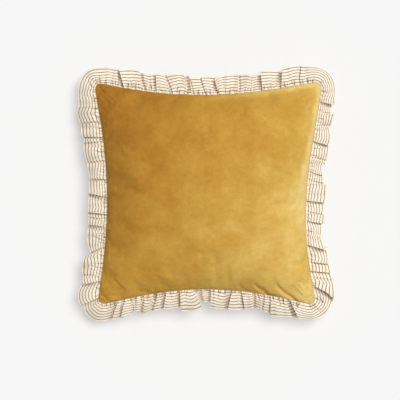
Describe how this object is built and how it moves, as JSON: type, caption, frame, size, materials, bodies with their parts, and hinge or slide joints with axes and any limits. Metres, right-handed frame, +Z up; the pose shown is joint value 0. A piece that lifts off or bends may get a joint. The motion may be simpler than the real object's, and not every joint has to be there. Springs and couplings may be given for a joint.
{
  "type": "frilled cushion",
  "caption": "Square filled scatter cushion in plain velvet, crowned in the middle with drawn-in sides, and a gathered ticking frill caught in the seam all round.",
  "frame": {"origin": "middle of the flat patch on which the cushion rests", "axes": "+Z up out of the face of the cushion as it lies on its back, +Y towards the top edge of the face, +X to its right"},
  "size_m": [0.4989, 0.4962, 0.1302],
  "materials": {
    "velvet_cover": "matte cotton velvet, mustard",
    "ticking_frill": "plain cotton, cream with narrow tan stripes along the seam"
  },
  "bodies": {
    "root": {"cushion_body": "velvet_cover", "frill": "ticking_frill"}
  },
  "joints": []
}
